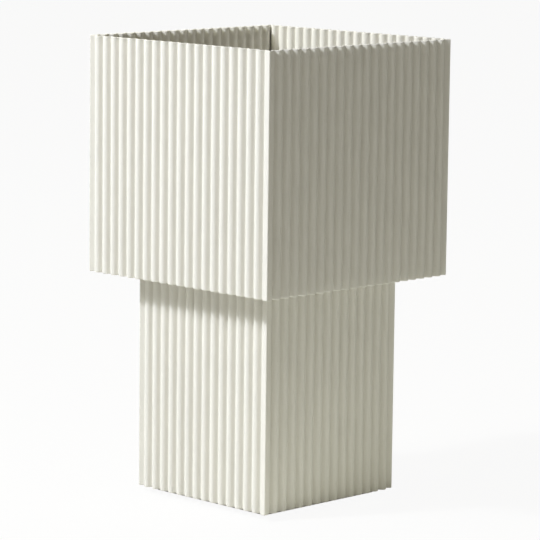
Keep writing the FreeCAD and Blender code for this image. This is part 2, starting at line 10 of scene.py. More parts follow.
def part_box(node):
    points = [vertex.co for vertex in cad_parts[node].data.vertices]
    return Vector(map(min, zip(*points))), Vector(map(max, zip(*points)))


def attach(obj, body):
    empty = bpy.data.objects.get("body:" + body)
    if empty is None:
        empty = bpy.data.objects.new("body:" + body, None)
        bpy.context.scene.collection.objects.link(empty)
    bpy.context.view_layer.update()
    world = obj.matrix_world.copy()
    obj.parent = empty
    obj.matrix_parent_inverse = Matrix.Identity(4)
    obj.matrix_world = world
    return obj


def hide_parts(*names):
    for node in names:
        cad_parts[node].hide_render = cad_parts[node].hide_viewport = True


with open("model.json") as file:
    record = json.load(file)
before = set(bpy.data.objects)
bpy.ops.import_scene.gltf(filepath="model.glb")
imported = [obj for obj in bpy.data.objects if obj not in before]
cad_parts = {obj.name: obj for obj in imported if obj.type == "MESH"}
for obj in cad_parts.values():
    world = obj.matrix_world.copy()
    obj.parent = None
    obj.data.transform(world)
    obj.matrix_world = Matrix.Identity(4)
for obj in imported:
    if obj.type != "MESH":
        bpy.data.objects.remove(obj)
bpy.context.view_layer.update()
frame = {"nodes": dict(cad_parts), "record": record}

bl_info = {
    "name": "Ribbed Square Lamp",
    "version": (1, 0, 0),
    "blender": (4, 5, 0),
    "location": "3D View > Sidebar > Lamp",
    "description": "Models a square table lamp of ribbed sheet round its packed frame",
    "category": "Add Mesh",
}

MM = 0.001
MERGE = 0.001 * MM
ALIGN = 0.05 * MM
LAMP = "lamp"
BUTTON = "button"
M3_SCREW = {"shank": 1.5 * MM, "head": 2.75 * MM, "head_height": 2.0 * MM, "socket": 0.9 * MM}
M2_SCREW = {"shank": 1.0 * MM, "head": 1.9 * MM, "head_height": 1.3 * MM, "socket": 0.8 * MM}


def length(label, description, size):
    """A size property in metres, given in millimetres."""
    return FloatProperty(name=label, description=description, default=size * MM, unit="LENGTH", precision=5)


def angle(label, description, degrees):
    """An angle property in radians, given in degrees."""
    return FloatProperty(name=label, description=description, default=math.radians(degrees), subtype="ANGLE")


def level(label, description, value):
    """A property for a plain number, such as a light's strength."""
    return FloatProperty(name=label, description=description, default=value, min=0.0)


def colour(label, description, value):
    """A property for a colour, as linear red, green and blue."""
    return FloatVectorProperty(name=label, description=description, default=value, subtype="COLOR",
                               min=0.0, max=1.0)


class SheetSizes(bpy.types.PropertyGroup):
    """The ribbed sheet, the same in the shade and the column."""
    thickness: length("Thickness", "Thickness of the sheet", 1.35)
    pitch: length("Rib pitch", "Distance from one rib to the next", 6.457)
    slope: angle("Rib slope", "Angle between a rib's flank and the wall", 60.0)
    fold: length("Fold radius", "Inside radius of each fold", 0.85)
    shoulder: length("Corner shoulder", "Outside radius where a corner's flat meets the last rib", 1.2)
    tip: length("Corner tip", "Outside radius of the folded corner", 0.6)
    seam_taper: angle("Seam taper", "Lean of the seam's flange off the diagonal", 6.0)
    seam_reach: length("Seam reach", "How far the seam's flange stands out along the diagonal", 0.7)
    seam_edge: length("Seam edge", "Radius on the outer edge of the seam's flange", 0.6)
    rim: length("Rim radius", "Rounding of the sheet's cut edges", 0.55)
    shade_ribs: IntProperty(name="Shade ribs", description="Ribs on each wall of the shade", default=21)
    column_ribs: IntProperty(name="Column ribs", description="Ribs on each wall of the column", default=15)


class TrimSizes(bpy.types.PropertyGroup):
    """Edges and bends of the base, the spider and the diffuser."""
    base_edge: length("Base edge", "Rounding of the base plate's edges", 0.6)
    foot_edge: length("Foot edge", "Rounding of the foot pad's edges", 0.3)
    rim_band: length("Rim band", "Width of the band round base and foot whose edges are rounded", 2.0)
    spider_sheet: length("Spider sheet", "Thickness of the spider's sheet", 2.5)
    arm_bend: length("Arm bend", "Inside radius where the spider's arms turn up", 1.5)
    sheet_edge: length("Sheet edge", "Rounding of the flat sheet's cut edges", 0.3)
    shoulder: length("Diffuser shoulder", "Rounding of the opal diffuser's top edge", 8.0)
    wall: length("Diffuser wall", "Wall of the opal diffuser", 2.0)
    mouth_edge: length("Mouth edge", "Rounding inside the diffuser's open end", 0.3)
    flange: length("Diffuser flange", "How far the diffuser's flange stands out", 3.5)
    flange_sheet: length("Flange thickness", "Thickness of the diffuser's flange", 2.0)
    flange_edge: length("Flange edge", "Rounding of the flange's outer edges", 0.4)
    flange_root: length("Flange root", "Rounding between the flange and the diffuser's wall", 0.5)


class ControlSizes(bpy.types.PropertyGroup):
    """The control panel in the back wall and what sits in it."""
    height: length("Panel height", "Middle of the control panel above the table", 27.0)
    gap: length("Panel gap", "Play round the control panel in the back wall", 0.25)
    corner: length("Panel corner", "Corner radius of the control panel", 2.0)
    lip: length("Panel lip", "How far the panel's lip reaches behind the wall", 3.0)
    sheet: length("Panel thickness", "Thickness of the panel's face", 2.4)
    edge: length("Panel edge", "Rounding of the panel's front edges", 0.25)
    cut_behind: length("Cut behind", "How far the hole's cutter reaches in from the panel's face", 8.0)
    cut_before: length("Cut before", "How far the hole's cutter stands out of the panel's face", 2.0)
    button_flange: length("Button flange", "How far the button's flange stands out", 1.0)
    button_flange_sheet: length("Button flange thickness", "Thickness of the button's flange", 1.0)
    button_flange_edge: length("Button flange edge", "Rounding of the button's flange", 0.2)
    button_rim: length("Button rim", "Width of the rim round the hollow in the button's face", 0.9)
    button_edge: length("Button edge", "Rounding of the button's front edge", 0.35)
    button_brow: length("Button brow", "Rounding where the rim drops into the hollow", 0.5)
    button_bowl: length("Button bowl", "Rounding at the foot of the hollow's slope", 2.2)
    button_dish: length("Button dish", "Depth of the hollow in the button's face", 0.45)
    button_floor: level("Button floor", "Share of the hollow's radius that is flat", 0.55)
    socket_edge: length("Socket edge", "Rounding of the charge socket's front edges", 0.06)
    socket_band: length("Socket band", "Depth of the socket's front whose edges are rounded", 2.0)
    light_collar: length("Light collar", "Reach and thickness of the charge light's collar", 0.5)
    light_edge: length("Light edge", "Rounding of the charge light's edges inside the lamp", 0.1)
    light_dome: length("Light dome", "Rounding of the charge light's front edge", 0.45)


class CoatColours(bpy.types.PropertyGroup):
    """Colours of the coated and moulded parts."""
    coat: colour("Powder coat", "Cream white of the sheet parts", (0.80, 0.785, 0.73))
    base: colour("Base coat", "Coat of the base plate", (0.76, 0.75, 0.70))
    panel: colour("Panel plastic", "Control panel and button", (0.77, 0.755, 0.70))
    rubber: colour("Rubber", "Foot pad and grommet", (0.035, 0.035, 0.034))
    black: colour("Black plastic", "Battery holder, switch and small parts", (0.018, 0.018, 0.019))
    board: colour("Circuit board", "Solder mask of the control board", (0.012, 0.085, 0.035))
    sleeve: colour("Cell sleeve", "Shrink sleeve of the battery cells", (0.02, 0.11, 0.30))
    opal: colour("Opal", "Opal acrylic of the diffuser", (0.86, 0.86, 0.83))


class StageSizes(bpy.types.PropertyGroup):
    """Where the camera, the lights and the floor stand."""
    azimuth: angle("Azimuth", "Camera's turn about the lamp", 45.04)
    elevation: angle("Elevation", "Camera's height as an angle", 8.52)
    roll: angle("Roll", "Camera's tilt about its own axis", 0.667)
    distance: length("Distance", "From the camera to its target", 1623.2)
    target_height: length("Target height", "Height of the camera's target", 122.89)
    target_shift: length("Target shift", "How far the target lies to the right of the lamp's axis", 1.28)
    lens: level("Lens", "Focal length in millimetres on a 36 mm sensor", 199.6)
    key_turn: angle("Key turn", "Direction of the key light about the lamp", -24.0)
    key_height: angle("Key height", "Height of the key light as an angle", 38.2)
    key_distance: length("Key distance", "From the key light to the lamp", 2500.0)
    key_width: length("Key width", "Diameter of the key light", 200.0)
    key_power: level("Key power", "Light that the key gives at the lamp, in watts per square metre", 1.83)
    halo_width: length("Halo width", "Diameter of the softer light round the key", 800.0)
    halo_power: level("Halo power", "Light that the halo gives at the lamp, in watts per square metre", 1.52)
    key_tint: colour("Key tint", "Colour of the key light and its halo", (0.91, 0.935, 1.0))
    fill_power: level("Fill power", "Strength of the light from all round", 0.165)
    fill_tint: colour("Fill tint", "Colour of the light from all round", (1.0, 0.92, 0.76))
    card_tint: colour("Card tint", "Colour of the low card's light", (0.97, 1.0, 0.86))
    card_power: level("Card power", "Strength of the low card beside the lamp", 0.5)
    card_width: length("Card width", "Width of the low card beside the lamp", 160.0)
    card_length: length("Card length", "Length of the low card beside the lamp", 300.0)
    card_gap: length("Card gap", "From the lamp's axis to the card's near edge", 55.0)
    card_height: length("Card height", "Height of the low card above the floor", 1.0)
    top_power: level("Top power", "Light that it gives at the back wall, in watts per square metre", 0.86)
    top_tint: colour("Top tint", "Colour of the top card's light", (1.0, 1.0, 0.74))
    top_width: length("Top width", "Diameter of the top card", 60.0)
    top_left: length("Top left", "How far the top card hangs to the left of the lamp's axis", 110.0)
    top_front: length("Top front", "How far the top card hangs in front of the lamp's axis", 70.0)
    top_height: length("Top height", "Height of the top card above the table", 430.0)
    floor_half: length("Floor half", "From the lamp's axis to the floor's edge", 4000.0)
    floor_drop: length("Floor drop", "How far the floor lies under the foot pad", 0.2)
    floor_tint: colour("Floor tint", "Colour of the floor", (0.88, 0.875, 0.785))
    floor_white: level("Floor white", "Share of plain white in what the camera sees of the floor", 0.93)


# Mesh helpers

def corner_turn(points, i):
    """The angle by which an outline turns at a corner."""
    back = points[i] - points[i - 1]
    ahead = points[(i + 1) % len(points)] - points[i]
    return back.angle(ahead)


def outline_face(bm, points, radii, height, step=math.radians(16.0)):
    """A flat face through the points at a height, each corner rounded by its own radius.

    A corner is cut off along the arc's tangent again and again, so the arc stays true at any angle.
    """
    corners = [bm.verts.new((p.x, p.y, height)) for p in points]
    bm.faces.new(corners)
    like = {}
    for i, radius in enumerate(radii):
        if radius > 0:
            key = (round(radius, 7), round(corner_turn(points, i), 5))
            like.setdefault(key, []).append(corners[i])
    for (radius, turn), group in like.items():
        while group:
            reach = radius * math.tan(turn / 2)
            last = turn <= step
            cut = reach if last else reach - radius * math.tan(turn / 4)
            made = bmesh.ops.bevel(bm, geom=group, offset=cut, offset_type="OFFSET", segments=1,
                                   profile=0.5, affect="VERTICES", clamp_overlap=False, material=-1)
            group = [] if last else made["verts"]
            turn /= 2
    bmesh.ops.remove_doubles(bm, verts=bm.verts, dist=MERGE)
    return max(bm.faces, key=lambda f: len(f.verts))


def raise_face(bm, face, rise):
    """Extrudes a flat face straight up and gives the bottom and the top face."""
    grown = bmesh.ops.extrude_face_region(bm, geom=[face])["geom"]
    moved = [v for v in grown if isinstance(v, bmesh.types.BMVert)]
    bmesh.ops.translate(bm, verts=moved, vec=(0, 0, rise))
    caps = [f for f in bm.faces if abs(f.normal.z) > 0.99 or len(f.verts) > 4]
    bm.normal_update()
    caps = sorted(caps, key=lambda f: f.calc_center_median().z)
    return caps[0], caps[-1]


def round_rim(bm, cap, radius, steps=4):
    """Rolls a cap's edge over by quarter-round insets. The cap's normal has to point outwards."""
    for i in range(steps):
        before = math.pi / 2 * i / steps
        after = math.pi / 2 * (i + 1) / steps
        inward = radius * (math.cos(before) - math.cos(after))
        outward = radius * (math.sin(after) - math.sin(before))
        bmesh.ops.inset_region(bm, faces=[cap], thickness=inward, depth=outward,
                               use_even_offset=True, use_boundary=True)


def prism(bm, points, radii, low, high, rim):
    """An upright prism on a rounded outline, its two rims rolled over."""
    face = outline_face(bm, points, radii, low + rim)
    bottom, top = raise_face(bm, face, high - low - 2 * rim)
    bmesh.ops.recalc_face_normals(bm, faces=bm.faces)
    round_rim(bm, bottom, rim)
    round_rim(bm, top, rim)


def turned(points, radii, steps=72):
    """A form turned about the Z axis from a closed outline of (radius, height) points.

    Each point has a radius that rounds it.
    """
    bm = bmesh.new()
    face = outline_face(bm, [Vector(p) for p in points], radii, 0.0)
    bmesh.ops.delete(bm, geom=[face], context="FACES_ONLY")
    on_axis = [e for e in bm.edges if max(v.co.x for v in e.verts) < MERGE]
    bmesh.ops.delete(bm, geom=on_axis, context="EDGES")
    bmesh.ops.rotate(bm, verts=bm.verts, cent=(0, 0, 0), matrix=Matrix.Rotation(math.pi / 2, 3, "X"))
    bmesh.ops.spin(bm, geom=bm.verts[:] + bm.edges[:], cent=(0, 0, 0), axis=(0, 0, 1), dvec=(0, 0, 0),
                   angle=2 * math.pi, steps=steps, use_merge=True, use_duplicate=False)
    bmesh.ops.remove_doubles(bm, verts=bm.verts, dist=MERGE)
    bmesh.ops.recalc_face_normals(bm, faces=bm.faces)
    return bm


def faced_back(bm):
    """Tips an upright form over so that its top faces the back, +Y."""
    bmesh.ops.rotate(bm, verts=bm.verts, cent=(0, 0, 0), matrix=Matrix.Rotation(-math.pi / 2, 3, "X"))


def repeated(bm, places):
    """Sets copies of a form at each place and keeps none at the axis."""
    pattern = bm.verts[:] + bm.edges[:] + bm.faces[:]
    for x, y in places:
        made = bmesh.ops.duplicate(bm, geom=pattern)["geom"]
        moved = [v for v in made if isinstance(v, bmesh.types.BMVert)]
        bmesh.ops.translate(bm, verts=moved, vec=(x, y, 0))
    bmesh.ops.delete(bm, geom=[v for v in pattern if isinstance(v, bmesh.types.BMVert)], context="VERTS")


def cut_out(bm, cutter):
    """Cuts one form out of another and gives what is left."""
    pair = []
    for name, form in (("cut_body", bm), ("cut_tool", cutter)):
        bmesh.ops.recalc_face_normals(form, faces=form.faces)
        mesh = bpy.data.meshes.new(name)
        form.to_mesh(mesh)
        form.free()
        made = bpy.data.objects.new(name, mesh)
        bpy.context.scene.collection.objects.link(made)
        pair.append(made)
    body, tool = pair
    cut = body.modifiers.new("cut", "BOOLEAN")
    cut.operation = "DIFFERENCE"
    cut.solver = "EXACT"
    cut.object = tool
    left = bmesh.new()
    left.from_mesh(bpy.data.meshes.new_from_object(body.evaluated_get(bpy.context.evaluated_depsgraph_get())))
    for made in pair:
        bpy.data.objects.remove(made)
    return left


def cad_copy(node, flat=math.radians(0.5)):
    """A merged copy of a CAD node, its flat faces whole again."""
    bm = bmesh.new()
    bm.from_mesh(frame["nodes"][node].data)
    bmesh.ops.remove_doubles(bm, verts=bm.verts, dist=MERGE)
    bmesh.ops.dissolve_limit(bm, angle_limit=flat, verts=bm.verts, edges=bm.edges)
    return bm


def round_edges(bm, edges, radius, segments=3):
    """Rolls some edges over by a radius."""
    bmesh.ops.bevel(bm, geom=edges, offset=radius, offset_type="OFFSET", segments=segments,
                    profile=0.5, affect="EDGES", clamp_overlap=True, material=-1)


def sharp_edges(bm, least=math.radians(50.0)):
    """Edges that stand out, where the surface turns by more than a given angle."""
    return [e for e in bm.edges if e.is_convex and e.calc_face_angle(0.0) > least]


def middle(edge):
    """The point halfway along an edge."""
    return (edge.verts[0].co + edge.verts[1].co) / 2


def add_piece(name, bm, slot, stands_for=(), body=LAMP, sharp=math.radians(35.0)):
    """Makes a finished object of a bmesh, riding on its body, in its finish."""
    for face in bm.faces:
        face.smooth = True
    for edge in bm.edges:
        edge.smooth = edge.calc_face_angle(0.0) < sharp
    mesh = bpy.data.meshes.new(name)
    bm.to_mesh(mesh)
    bm.free()
    piece = bpy.data.objects.new(name, mesh)
    bpy.context.scene.collection.objects.link(piece)
    piece.data.materials.append(finish(slot))
    normals = piece.modifiers.new("weighted_normals", "WEIGHTED_NORMAL")
    normals.keep_sharp = True
    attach(piece, body)
    if stands_for:
        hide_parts(*stands_for)
    return piece


# Finishes

class Finish:
    """A material under construction: its node tree and its surface shader."""

    def __init__(self, name):
        self.material = bpy.data.materials.new(name)
        self.material.use_nodes = True
        self.tree = self.material.node_tree
        self.shader = self.tree.nodes["Principled BSDF"]
        self.place = self.node("ShaderNodeTexCoord").outputs["Object"]

    def node(self, kind, inputs=(), **settings):
        """A new node, its inputs linked or set by name or number."""
        made = self.tree.nodes.new(kind)
        for key, value in settings.items():
            setattr(made, key, value)
        for key, value in dict(inputs).items():
            if isinstance(value, bpy.types.NodeSocket):
                self.tree.links.new(value, made.inputs[key])
            else:
                made.inputs[key].default_value = value
        return made

    def set(self, **values):
        """Links or sets the shader's inputs, named with underscores."""
        for key, value in values.items():
            socket = self.shader.inputs[key.replace("_", " ")]
            if isinstance(value, bpy.types.NodeSocket):
                self.tree.links.new(value, socket)
            else:
                socket.default_value = value

    def noise(self, size, detail=2.0, roughness=0.5):
        """Noise whose grains are about size across."""
        inputs = {"Vector": self.place, "Scale": 1.0 / size, "Detail": detail, "Roughness": roughness}
        return self.node("ShaderNodeTexNoise", inputs).outputs["Fac"]

    def between(self, value, low, high):
        """A value in 0.3 to 0.7, as noise gives it, spread over low to high."""
        inputs = {"Value": value, "From Min": 0.3, "From Max": 0.7, "To Min": low, "To Max": high}
        return self.node("ShaderNodeMapRange", inputs).outputs["Result"]

    def blend(self, share, first, second):
        """A colour between two, by a share from 0 to 1."""
        made = self.node("ShaderNodeMix", {"Factor": share}, data_type="RGBA")
        for socket, value in ((made.inputs[6], first), (made.inputs[7], second)):
            if isinstance(value, bpy.types.NodeSocket):
                self.tree.links.new(value, socket)
            else:
                socket.default_value = value
        return made.outputs[2]

    def bump(self, height, depth):
        """Relief that is depth deep, from a height of 0 to 1."""
        inputs = {"Height": height, "Distance": depth, "Strength": 1.0}
        return self.node("ShaderNodeBump", inputs).outputs["Normal"]


def opaque(rgb, shade=1.0):
    """A colour with full alpha, made lighter or darker by a factor."""
    return (rgb[0] * shade, rgb[1] * shade, rgb[2] * shade, 1.0)


def coated(name, rgb):
    """Fine matt powder coat: a close grain, with a little drift in tone."""
    made = Finish(name)
    drift = made.between(made.noise(22 * MM, 3.0), 0.0, 1.0)
    speck = made.between(made.noise(0.45 * MM, 2.0), 0.0, 1.0)
    tone = made.blend(drift, opaque(rgb, 0.985), opaque(rgb, 1.012))
    tone = made.blend(made.between(speck, 0.0, 0.10), tone, opaque(rgb, 0.90))
    grain = made.bump(made.noise(0.42 * MM, 3.0, 0.6), 0.03 * MM)
    made.set(Base_Color=tone, Roughness=made.between(drift, 0.66, 0.72), Normal=grain)
    made.shader.inputs["Specular IOR Level"].default_value = 0.2
    return made.material


def moulded(name, rgb, rough=0.45):
    """Moulded plastic: an even spark-eroded grain and a faint flow pattern."""
    made = Finish(name)
    flow = made.between(made.noise(14 * MM, 2.0), 0.0, 1.0)
    made.set(Base_Color=made.blend(flow, opaque(rgb, 0.96), opaque(rgb, 1.04)),
             Roughness=made.between(made.noise(0.6 * MM), rough - 0.06, rough + 0.06),
             Normal=made.bump(made.noise(0.25 * MM, 2.0), 0.012 * MM))
    return made.material


def rubbery(name, rgb):
    """Moulded rubber: dull and finely pitted, with a grey bloom in patches."""
    made = Finish(name)
    bloom = made.between(made.noise(9 * MM, 4.0), 0.0, 0.35)
    pits = made.noise(0.3 * MM, 3.0, 0.7)
    made.set(Base_Color=made.blend(bloom, opaque(rgb), opaque(rgb, 1.9)),
             Roughness=made.between(pits, 0.70, 0.88), Normal=made.bump(pits, 0.03 * MM))
    made.shader.inputs["Specular IOR Level"].default_value = 0.3
    return made.material


def spangled(name, rgb):
    """Zinc sheet: flakes of crystal a few millimetres wide, each a little lighter or darker."""
    made = Finish(name)
    flakes = made.node("ShaderNodeTexVoronoi", {"Vector": made.place, "Scale": 1 / (3.5 * MM)})
    tone = made.node("ShaderNodeSeparateColor", {"Color": flakes.outputs["Color"]}).outputs["Red"]
    rough = made.node("ShaderNodeMapRange", {"Value": tone, "To Min": 0.32, "To Max": 0.46})
    made.set(Metallic=1.0, Base_Color=made.blend(tone, opaque(rgb, 0.86), opaque(rgb, 1.08)),
             Roughness=rough.outputs["Result"],
             Normal=made.bump(made.noise(0.5 * MM, 2.0), 0.006 * MM))
    return made.material


def plated(name, rgb, rough):
    """Plated metal: bright, with a faint haze and fine handling marks."""
    made = Finish(name)
    haze = made.between(made.noise(1.6 * MM, 3.0), 0.0, 1.0)
    made.set(Metallic=1.0, Base_Color=made.blend(haze, opaque(rgb, 0.94), opaque(rgb, 1.03)),
             Roughness=made.between(made.noise(0.5 * MM, 4.0), rough - 0.05, rough + 0.08),
             Normal=made.bump(made.noise(0.35 * MM, 2.0), 0.003 * MM))
    return made.material


def lathe_turned(name, rgb):
    """Bare metal off a lathe: rings of fine grooves about the lamp's axis."""
    made = Finish(name)
    rings = made.node("ShaderNodeTexWave", {"Vector": made.place, "Scale": 1 / (12 * MM), "Distortion": 0.15,
                                            "Detail": 2.0}, wave_type="RINGS", rings_direction="Z")
    groove = rings.outputs["Fac"]
    made.set(Metallic=1.0, Base_Color=made.blend(groove, opaque(rgb, 0.93), opaque(rgb)),
             Roughness=made.between(made.noise(0.8 * MM, 3.0), 0.24, 0.36),
             Normal=made.bump(groove, 0.01 * MM))
    return made.material


def board_mask(name, rgb, track):
    """A circuit board's solder mask, its copper tracks showing through a little."""
    made = Finish(name)
    turn = made.node("ShaderNodeMapping", {"Vector": made.place, "Rotation": (math.pi / 2, 0, 0)}).outputs[0]
    tracks = made.node("ShaderNodeTexBrick", {"Vector": turn, "Scale": 1.0, "Mortar Size": 0.18 * MM,
                                              "Brick Width": 3.1 * MM, "Row Height": 1.3 * MM,
                                              "Mortar Smooth": 0.1}).outputs["Fac"]
    made.set(Base_Color=made.blend(tracks, opaque(rgb), opaque(track)),
             Roughness=made.between(made.noise(0.9 * MM), 0.24, 0.36), Normal=made.bump(tracks, 0.02 * MM))
    return made.material


def phosphor(name, rgb):
    """The yellow gel over a chip, with its grains."""
    made = Finish(name)
    grains = made.between(made.noise(0.12 * MM, 2.0), 0.0, 1.0)
    made.set(Base_Color=made.blend(grains, opaque(rgb, 0.88), opaque(rgb, 1.04)),
             Roughness=made.between(made.noise(0.4 * MM), 0.32, 0.46), Normal=made.bump(grains, 0.01 * MM))
    return made.material


def opal_acrylic(name, rgb):
    """Satin opal acrylic: light spreads inside it, and its skin is faintly uneven."""
    made = Finish(name)
    cloud = made.between(made.noise(18 * MM, 2.0), 0.0, 1.0)
    made.set(Base_Color=made.blend(cloud, opaque(rgb, 0.98), opaque(rgb, 1.02)),
             Roughness=made.between(made.noise(0.7 * MM, 2.0), 0.34, 0.42),
             Normal=made.bump(made.noise(0.6 * MM), 0.004 * MM))
    made.shader.inputs["IOR"].default_value = 1.49
    made.shader.inputs["Subsurface Weight"].default_value = 0.5
    made.shader.inputs["Subsurface Radius"].default_value = (1.0, 0.95, 0.85)
    made.shader.inputs["Subsurface Scale"].default_value = 3 * MM
    return made.material


def clear_acrylic(name, rgb):
    """Clear acrylic with slight draw marks along its length."""
    made = Finish(name)
    along = made.node("ShaderNodeMapping", {"Vector": made.place, "Scale": (1.0, 0.1, 1.0)}).outputs[0]
    drawn = made.node("ShaderNodeTexNoise", {"Vector": along, "Scale": 1 / (0.3 * MM), "Detail": 2.0})
    marks = drawn.outputs["Fac"]
    made.set(Base_Color=opaque(rgb), Roughness=made.between(marks, 0.05, 0.16),
             Normal=made.bump(marks, 0.006 * MM))
    made.shader.inputs["IOR"].default_value = 1.49
    made.shader.inputs["Transmission Weight"].default_value = 0.9
    return made.material


def shrunk_sleeve(name, rgb):
    """A cell's shrink sleeve: glossy film with slack wrinkles round the cell."""
    made = Finish(name)
    round_cell = made.node("ShaderNodeMapping", {"Vector": made.place, "Scale": (4.0, 1.0, 1.0)}).outputs[0]
    wrinkle = made.node("ShaderNodeTexNoise", {"Vector": round_cell, "Scale": 1 / (7 * MM), "Detail": 2.0})
    cloud = made.between(made.noise(5 * MM), 0.0, 1.0)
    made.set(Base_Color=made.blend(cloud, opaque(rgb, 0.92), opaque(rgb, 1.1)),
             Roughness=made.between(made.noise(2 * MM), 0.22, 0.34),
             Normal=made.bump(wrinkle.outputs["Fac"], 0.12 * MM))
    return made.material


def sheathed(name, rgb):
    """The soft sheath of a lead, matt and lightly scuffed."""
    made = Finish(name)
    scuffs = made.noise(1.1 * MM, 5.0, 0.7)
    made.set(Base_Color=made.blend(made.between(scuffs, 0.0, 0.5), opaque(rgb), opaque(rgb, 1.8)),
             Roughness=made.between(scuffs, 0.46, 0.62), Normal=made.bump(scuffs, 0.02 * MM))
    return made.material


def finish(slot):
    """The material of a slot, made once."""
    name = "finish_" + slot
    if name in bpy.data.materials:
        return bpy.data.materials[name]
    colours = bpy.context.scene.lamp_colours
    zinc = (0.56, 0.57, 0.58)
    makers = {
        "powder_coat": (coated, colours.coat),
        "base_coat": (coated, colours.base),
        "panel_plastic": (moulded, colours.panel),
        "black_plastic": (moulded, colours.black),
        "foot_rubber": (rubbery, colours.rubber),
        "zinc_sheet": (spangled, zinc),
        "zinc_screws": (plated, zinc, 0.34),
        "nickel": (plated, (0.66, 0.64, 0.60), 0.20),
        "bare_aluminium": (lathe_turned, (0.80, 0.81, 0.82)),
        "circuit_board": (board_mask, colours.board, (0.05, 0.16, 0.06)),
        "white_board": (board_mask, (0.84, 0.84, 0.82), (0.72, 0.72, 0.69)),
        "led_yellow": (phosphor, (0.80, 0.62, 0.10)),
        "opal": (opal_acrylic, colours.opal),
        "clear_plastic": (clear_acrylic, (0.92, 0.93, 0.94)),
        "cell_wrap": (shrunk_sleeve, colours.sleeve),
        "lead_sheath": (sheathed, (0.014, 0.014, 0.014)),
    }
    maker, *details = makers[slot]
    return maker(name, *details)


# Ribbed sheet

def meeting_point(normal_a, reach_a, normal_b, reach_b):
    """Where two lines cross, each given by its normal and its distance along that normal."""
    across = normal_a.x * normal_b.y - normal_a.y * normal_b.x
    x = (reach_a * normal_b.y - reach_b * normal_a.y) / across
    y = (reach_b * normal_a.x - reach_a * normal_b.x) / across
    return Vector((x, y))


def wall_side(sizes, ribs, depth):
    """One surface of a wall from its seam to its folded corner, as corners, their radii and the tip.

    depth is how far the surface lies under the outer one. The wall faces -Y.
    """
    line = ribs * sizes.pitch / 2
    ridge = sizes.fold + sizes.thickness
    ridge_peak = ridge / math.cos(sizes.slope)
    valley_peak = ridge_peak - sizes.pitch / 2 * math.tan(sizes.slope)
    valley_centre = valley_peak + sizes.fold / math.cos(sizes.slope)
    drop = depth / math.cos(sizes.slope)
    valley_fold = sizes.fold + depth
    flange = math.pi / 4 - sizes.seam_taper
    valley = Vector((-line + sizes.pitch / 2, valley_centre))
    rising = Vector((-math.sin(sizes.slope), math.cos(sizes.slope)))
    falling = Vector((math.sin(flange), math.cos(flange)))
    outward = Vector((-1, 1)).normalized()
    falling_reach = valley.dot(falling) - valley_fold
    root = meeting_point(rising, valley.dot(rising) - valley_fold, falling, falling_reach)
    seam = Vector((-line, 0)).dot(outward) + sizes.seam_reach
    end = meeting_point(falling, falling_reach, outward, seam)
    corners = [end, root]
    radii = [sizes.seam_edge if depth == 0 else 0.0, valley_fold]
    for i in range(1, ribs):
        ridge_x = -line + i * sizes.pitch
        corners.append(Vector((ridge_x, ridge_peak - drop)))
        corners.append(Vector((ridge_x + sizes.pitch / 2, valley_peak - drop)))
        radii += [ridge - depth, valley_fold]
    shoulder_x = line - (ridge_peak - ridge - drop + depth) / math.tan(sizes.slope)
    corners.append(Vector((shoulder_x, ridge - depth)))
    radii.append(sizes.shoulder if depth == 0 else 0.0)
    tip = Vector((line + ridge - depth, -line - ridge + depth))
    return [Vector((p.x, -line - p.y)) for p in corners], radii, tip


def folded_outline(sizes, ribs):
    """The closed outline of an L of ribbed sheet: the -Y wall and the +X wall."""
    outer, outer_radii, outer_tip = wall_side(sizes, ribs, 0.0)
    inner, inner_radii, inner_tip = wall_side(sizes, ribs, sizes.thickness)
    outer_other = [Vector((-p.y, -p.x)) for p in reversed(outer)]
    inner_other = [Vector((-p.y, -p.x)) for p in inner]
    points = outer + [outer_tip] + outer_other + inner_other + [inner_tip] + inner[::-1]
    radii = outer_radii + [sizes.tip] + outer_radii[::-1] + inner_radii + [0.0] + inner_radii[::-1]
    return points, radii


def folded_halves(sizes, ribs, node):
    """The front half of a square of ribbed sheet, as tall as the node, and the back half."""
    low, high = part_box(node)
    front = bmesh.new()
    points, radii = folded_outline(sizes, ribs)
    prism(front, points, radii, low.z, high.z, sizes.rim)
    back = front.copy()
    bmesh.ops.rotate(back, verts=back.verts, cent=(0, 0, 0), matrix=Matrix.Rotation(math.pi, 3, "Z"))
    return front, back


class LAMP_OT_shade(bpy.types.Operator):
    """Folds the two halves of the shade"""
    bl_idname = "lamp.shade"
    bl_label = "Shade"

    def execute(self, context):
        sizes = context.scene.lamp_sheet
        front, back = folded_halves(sizes, sizes.shade_ribs, "shade_front_half")
        add_piece("shade_front_sheet", front, "powder_coat", ["shade_front_half"])
        add_piece("shade_back_sheet", back, "powder_coat", ["shade_back_half"])
        return {"FINISHED"}


def panel_opening(panel):
    """The bar that cuts the control panel's hole in the back wall."""
    low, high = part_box("control_bezel")
    half_x = high.x - panel.lip + panel.gap
    half_z = (high.z - low.z) / 2 - panel.lip + panel.gap
    signs = ((1, 1), (-1, 1), (-1, -1), (1, -1))
    corners = [Vector((half_x * x, half_z * z)) for x, z in signs]
    bm = bmesh.new()
    face = outline_face(bm, corners, [panel.corner + panel.gap] * 4, high.y - panel.cut_behind)
    raise_face(bm, face, panel.cut_behind + panel.cut_before)
    faced_back(bm)
    bmesh.ops.translate(bm, verts=bm.verts, vec=(0, 0, panel.height))
    return bm


class LAMP_OT_column(bpy.types.Operator):
    """Folds the two halves of the column and cuts the panel's hole in the back wall"""
    bl_idname = "lamp.column"
    bl_label = "Column"

    def execute(self, context):
        sizes = context.scene.lamp_sheet
        front, back = folded_halves(sizes, sizes.column_ribs, "column_front_half")
        add_piece("column_front_sheet", front, "powder_coat", ["column_front_half"])
        back = cut_out(back, panel_opening(context.scene.lamp_controls))
        add_piece("column_back_sheet", back, "powder_coat", ["column_back_half"])
        return {"FINISHED"}


